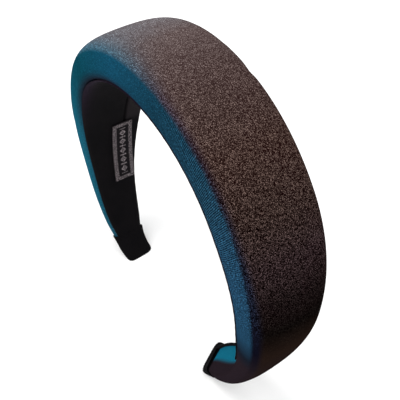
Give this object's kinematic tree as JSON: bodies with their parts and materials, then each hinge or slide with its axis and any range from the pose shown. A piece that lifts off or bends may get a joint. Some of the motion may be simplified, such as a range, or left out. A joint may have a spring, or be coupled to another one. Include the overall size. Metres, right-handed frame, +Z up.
{
  "type": "wide padded headband",
  "caption": "Wide padded satin headband with a dark cloth lining, a small woven label and ribbon-wrapped tips, worn over the head to hold the hair back.",
  "frame": {"origin": "on the surface under the two tips, at the centre of the band's box in X and Y", "axes": "+Z up to the crown, X across the head with the label on the -X leg, -Y to the front edge"},
  "size_m": [0.1498, 0.0414, 0.1558],
  "materials": {
    "satin": "two-tone changeable satin: grey-brown on the outer face, teal blue on the front and back walls",
    "lining_cloth": "matt black cloth",
    "label_weave": "black damask weave with a pale grey woven frame and a plain chain pattern",
    "ribbon": "matt black ribbed ribbon"
  },
  "bodies": {
    "root": {"padded_band": "satin", "lining": "lining_cloth", "label": "label_weave", "end_wrap_left": "ribbon", "end_wrap_right": "ribbon"}
  },
  "joints": []
}
